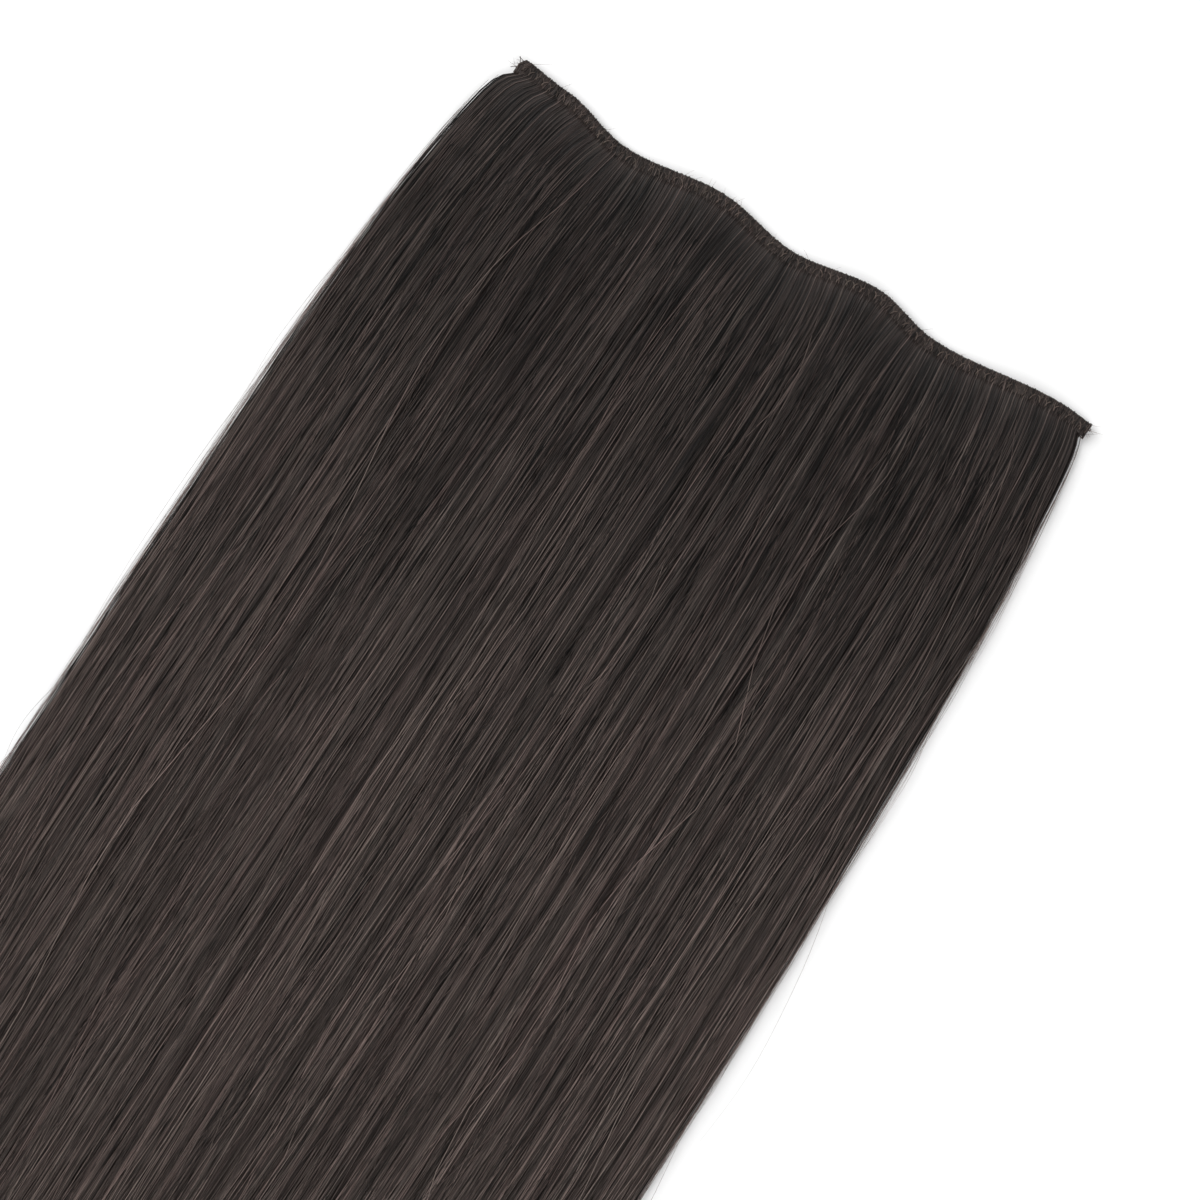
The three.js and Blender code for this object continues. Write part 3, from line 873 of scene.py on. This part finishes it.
# Each stitch is a loop: out towards the fold, round and back, crossing the next stitch at its foot.
leg_share = np.linspace(0, 1, THREAD_STATIONS)
loops = []
for row in ZIGZAG_ROWS:
    side = 1 if row["up"] > 1 else -1
    for leg in (-1, 1):
        wobble = draw.normal(0, 0.12, (stitches, 3))
        bow = np.sin(math.pi * leg_share) * 0.32 * leg
        leg_x = stitch_x[:, None] + leg * STITCH_PITCH * (0.1 + 0.5 * leg_share) + bow + wobble[:, :1]
        leg_inward = row["high"] + (row["low"] - row["high"]) * leg_share**1.3 + wobble[:, 1:2]
        dive = np.abs(2 * leg_share - 1) ** 5
        leg_up = row["up"] + side * (0.14 - 0.6 * dive) + 0.2 * wobble[:, 2:]
        loops.append(band_points(np.clip(leg_x / HALF_BAND, -0.994, 0.994), leg_inward, leg_up))
points = np.concatenate(loops)
add_thread("zigzag_thread", points, THREAD_RADIUS, np.clip(draw.normal(0.36, 0.14, len(points)), 0, 1))

# Two turns round the fold for each stitch.
turns = 2 * stitches
turn_inward = column(TURN_SECTION, "inward")[None, :] + draw.normal(0, 0.05, (turns, 1))
turn_up = column(TURN_SECTION, "up")[None, :] + draw.normal(0, 0.04, (turns, 1))
turn_start = np.concatenate([stitch_x - 0.25 * STITCH_PITCH, stitch_x + 0.25 * STITCH_PITCH])
turn_x = turn_start[:, None] + np.linspace(-0.3, 0.25, len(TURN_SECTION))
points = band_points(np.clip(turn_x / HALF_BAND, -0.996, 0.996), turn_inward, turn_up)
add_thread("edge_thread", points, TURN_RADIUS, np.clip(draw.normal(0.24, 0.1, len(points)), 0, 1))

# The thread's cut tails, left at the two ends of the band.
tail_turn = np.linspace(0, 1, 8)
for end in (-1, 1):
    tails = []
    for number in range(3):
        start = band_points(np.array([end * 0.99]), np.array([1.1 + 1.1 * number]), 1.9)
        length = draw.uniform(1.2, 2.6)
        heading = draw.uniform(-0.7, 0.7)
        curl = draw.uniform(-0.9, 0.9)
        out = end * length * tail_turn * math.cos(heading)
        aside = length * tail_turn * math.sin(heading) + curl * tail_turn**2
        tails.append(start + np.stack([out, aside, -0.6 * tail_turn], axis=-1) * MM)
    side_name = "left" if end < 0 else "right"
    add_thread(f"thread_tails_{side_name}", np.array(tails), TAIL_RADIUS, np.array([0.2, 0.3, 0.25]))


# The clips are the CAD's own combs of spring steel, in a mottled dark brown lacquer whose roughness
# varies with the mottling.
def lacquer_material():
    """Thin dark lacquer on steel."""
    material = bpy.data.materials.new("brown_lacquer")
    material.use_nodes = True
    nodes, links = material.node_tree.nodes, material.node_tree.links
    shader = nodes["Principled BSDF"]
    shader.inputs["Coat Weight"].default_value = 0.35
    shader.inputs["Coat Roughness"].default_value = 0.2
    place = nodes.new("ShaderNodeTexCoord")
    mottle = nodes.new("ShaderNodeTexNoise")
    mottle.inputs["Scale"].default_value = 420
    mottle.inputs["Detail"].default_value = 4
    links.new(place.outputs["Object"], mottle.inputs["Vector"])
    ramp = nodes.new("ShaderNodeValToRGB")
    dark, light = ramp.color_ramp.elements
    dark.position = 0.35
    dark.color = (0.018, 0.0115, 0.009, 1)
    light.position = 0.75
    light.color = (0.032, 0.021, 0.016, 1)
    links.new(mottle.outputs["Fac"], ramp.inputs["Fac"])
    links.new(ramp.outputs["Color"], shader.inputs["Base Color"])
    rough = nodes.new("ShaderNodeMapRange")
    rough.inputs["To Min"].default_value = 0.28
    rough.inputs["To Max"].default_value = 0.42
    links.new(mottle.outputs["Fac"], rough.inputs["Value"])
    links.new(rough.outputs["Result"], shader.inputs["Roughness"])
    bump = nodes.new("ShaderNodeBump")
    bump.inputs["Strength"].default_value = 0.15
    bump.inputs["Distance"].default_value = 0.0001
    links.new(mottle.outputs["Fac"], bump.inputs["Height"])
    links.new(bump.outputs["Normal"], shader.inputs["Normal"])
    return material


lacquer = lacquer_material()
for number in range(CLIP_COUNT):
    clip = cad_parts[f"clip_{number + 1}"]
    clip.data.materials.clear()
    clip.data.materials.append(lacquer)
    bpy.ops.object.select_all(action="DESELECT")
    clip.select_set(True)
    bpy.context.view_layer.objects.active = clip
    bpy.ops.object.shade_smooth_by_angle(angle=math.radians(25))


# The tacks that hold each clip: thread passed through its four sewing holes and round the edge of
# its bar into the band, three turns to a hole.
TACK_TURNS = 3
TACK_PITCH = 0.26
SEWING_HOLES = 4
CLIP_ARM = 2.0
TACK_SECTION = [
    {"across": -1.6, "up": 1.75},
    {"across": -1.6, "up": 0.6},
    {"across": -1.5, "up": -0.02},
    {"across": -0.9, "up": -0.16},
    {"across": 0.0, "up": -0.14},
    {"across": 0.3, "up": 0.3},
    {"across": 0.32, "up": 1.0},
    {"across": 0.1, "up": 1.75},
]
tack_share = np.linspace(0, 1, len(TACK_SECTION))
across = column(TACK_SECTION, "across")
tacks = []
for clip_x, clip_y, turn in CLIP_PLACES:
    for hole in range(SEWING_HOLES):
        hole_along = ((hole + 0.5) / SEWING_HOLES - 0.5) * (CLIP_LENGTH - 2 * CLIP_ARM)
        for winding in range(TACK_TURNS):
            fan = (winding - 1) * TACK_PITCH
            on_clip = hole_along + fan * (0.6 + 1.6 * tack_share)
            arch = CLIP_ARCH * (1 - (hole_along / HALF_CLIP) ** 2)
            x = clip_x + on_clip * math.cos(turn) - across * math.sin(turn)
            y = clip_y + on_clip * math.sin(turn) + across * math.cos(turn)
            tacks.append(in_frame(x, y, arch + column(TACK_SECTION, "up")))
add_thread("clip_tacks", np.array(tacks), THREAD_RADIUS, draw.uniform(0.25, 0.6, len(tacks)))


# Stray hairs: fine single hairs that stand off the sides of the fall and cross its surface, and a
# short pale fuzz at the cut ends of the band and along its fold.
STRAY_RADIUS = 0.045
SIDE_STRAYS = 190
TOP_STRAYS = 120
FUZZ_HAIRS = 90
FUZZ_OFF_FLOOR = 0.1
STRAY_TURNS = np.linspace(0, 1, 15)
stray_material = hair_material("stray_hairs", (0.02, 0.016, 0.015), (0.3, 0.23, 0.21), patches=0.1, gloss=0.4)


def add_strays(name, points, radius, tones):
    """One piece of single fine hairs."""
    taper = np.interp(np.linspace(0, 1, points.shape[1]), [0, 0.2, 1], [0.7, 1.0, 0.35])
    radii = radius * MM * taper[None, :] * np.ones((len(points), 1))
    strays = strand_tubes(name, points, radii, tones[:, None], np.linspace(0, 0.2, points.shape[1]))
    strays.data.materials.append(stray_material)
    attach(strays, "root")


# Off the two sides of the fall.
draw = np.random.default_rng(400)
side = np.where(np.arange(SIDE_STRAYS) % 2 == 0, -1, 1)[:, None]
begin = draw.uniform(2, 380, (SIDE_STRAYS, 1))
stretch = draw.uniform(30, 140, (SIDE_STRAYS, 1))
down = np.minimum(begin + stretch * STRAY_TURNS, HAIR_LENGTH - 4)
x, y = fall_place(side * 0.996, down)
bulge = draw.gamma(0.8, 0.9, (SIDE_STRAYS, 1))
wave = ripple(draw, SIDE_STRAYS, 0.5, 1.4, STRAY_TURNS)
x = x + side * bulge * np.sin(math.pi * STRAY_TURNS * draw.uniform(0.6, 1, (SIDE_STRAYS, 1))) + 0.3 * wave
lift = draw.uniform(0.5, 3.2, (SIDE_STRAYS, 1)) + 0.5 * wave
z = fall_rise(x, y, down) + np.maximum(lift, 0.15)
add_strays("side_strays", in_frame(x, y, z), STRAY_RADIUS * 1.3, draw.uniform(0.2, 0.9, SIDE_STRAYS))

# Across its surface.
across = draw.uniform(-0.93, 0.93, (TOP_STRAYS, 1))
begin = draw.uniform(4, 400, (TOP_STRAYS, 1))
stretch = draw.uniform(25, 90, (TOP_STRAYS, 1))
down = np.minimum(begin + stretch * STRAY_TURNS, HAIR_LENGTH - 4)
x, y = fall_place(across + 0 * down, down)
aside = draw.normal(0, 5, (TOP_STRAYS, 1)) * STRAY_TURNS
x = x + aside + 1.2 * ripple(draw, TOP_STRAYS, 0.5, 1.6, STRAY_TURNS)
above = 0.25 + 0.5 * np.sin(math.pi * STRAY_TURNS)
z = fall_rise(x, y, down) + fall_depth(across + 0 * down, down) + above
add_strays("top_strays", in_frame(x, y, z), STRAY_RADIUS * 1.2, draw.uniform(0.25, 0.75, TOP_STRAYS))

# The fuzz: a third of it stands out of the band's two cut ends, and the rest out of the fold.
fuzz_turns = np.linspace(0, 1, 7)
fuzz_end = draw.uniform(0, 1, (FUZZ_HAIRS, 1))
fuzz_along = draw.uniform(-1, 1, (FUZZ_HAIRS, 1))
fuzz_along = np.where(fuzz_end < 0.2, -0.995, np.where(fuzz_end > 0.85, 0.995, fuzz_along))
at_end = np.abs(fuzz_along) > 0.99
fuzz_inward = draw.uniform(0.1, 1.0, (FUZZ_HAIRS, 1))
fuzz_inward = np.where(at_end, draw.uniform(0.2, 4.4, (FUZZ_HAIRS, 1)), fuzz_inward)
reach = draw.gamma(2.0, 0.8, (FUZZ_HAIRS, 1))
bend = draw.normal(0, 0.9, (FUZZ_HAIRS, 1))
heading = np.where(at_end, np.sign(fuzz_along), draw.normal(0, 0.7, (FUZZ_HAIRS, 1)))
outward = np.where(at_end, draw.normal(0.1, 0.5, (FUZZ_HAIRS, 1)), 0.7)
fuzz_along = cut_end(fuzz_along, fuzz_inward)
fuzz_x = fuzz_along * HALF_BAND + reach * heading * fuzz_turns + 0.4 * bend * fuzz_turns**2
fuzz_y = fold_out(fuzz_along) - fuzz_inward + reach * outward * fuzz_turns + 0.6 * bend * fuzz_turns**2
climb = draw.normal(0, 0.8, (FUZZ_HAIRS, 1)) * fuzz_turns
fuzz_z = carried_rise(fuzz_along * HALF_BAND, fuzz_y) + 1.1 + climb
points = in_frame(fuzz_x, fuzz_y, np.maximum(fuzz_z, FUZZ_OFF_FLOOR))
add_strays("band_fuzz", points, STRAY_RADIUS, draw.uniform(0.3, 1, FUZZ_HAIRS))


# The floor and the light. A white table under large soft lights, the stronger one from the photo's
# upper left, with a pale surround.
bpy.ops.object.select_all(action="DESELECT")
bpy.ops.mesh.primitive_plane_add(size=8, location=(0, 0, 0))
floor = bpy.context.object
floor.name = "floor"
floor_material = bpy.data.materials.new("white_table")
floor_material.use_nodes = True
floor_shader = floor_material.node_tree.nodes["Principled BSDF"]
floor_shader.inputs["Base Color"].default_value = (0.95, 0.95, 0.95, 1)
floor_shader.inputs["Roughness"].default_value = 0.9
floor_shader.inputs["Specular IOR Level"].default_value = 0.1
floor.data.materials.append(floor_material)


def soft_light(name, place, size, power):
    """A square area light that faces the middle of the weft."""
    bpy.ops.object.select_all(action="DESELECT")
    bpy.ops.object.light_add(type="AREA", location=place)
    light = bpy.context.object
    light.name = name
    light.data.size = size
    light.data.energy = power
    aim = np.array(place) - np.array([0.0, 0.1, 0.0])
    light.rotation_euler = (
        math.atan2(math.hypot(aim[0], aim[1]), aim[2]),
        0,
        math.atan2(aim[0], -aim[1]),
    )


soft_light("key_light", (-1.5, 0.5, 1.5), 1.9, 44)
soft_light("fill_light", (1.4, -0.7, 1.7), 1.6, 17)

world = bpy.data.worlds.new("surround")
world.use_nodes = True
world.node_tree.nodes["Background"].inputs["Color"].default_value = (1, 1, 1, 1)
world.node_tree.nodes["Background"].inputs["Strength"].default_value = 0.45
bpy.context.scene.world = world
bpy.context.scene.view_settings.view_transform = "Standard"
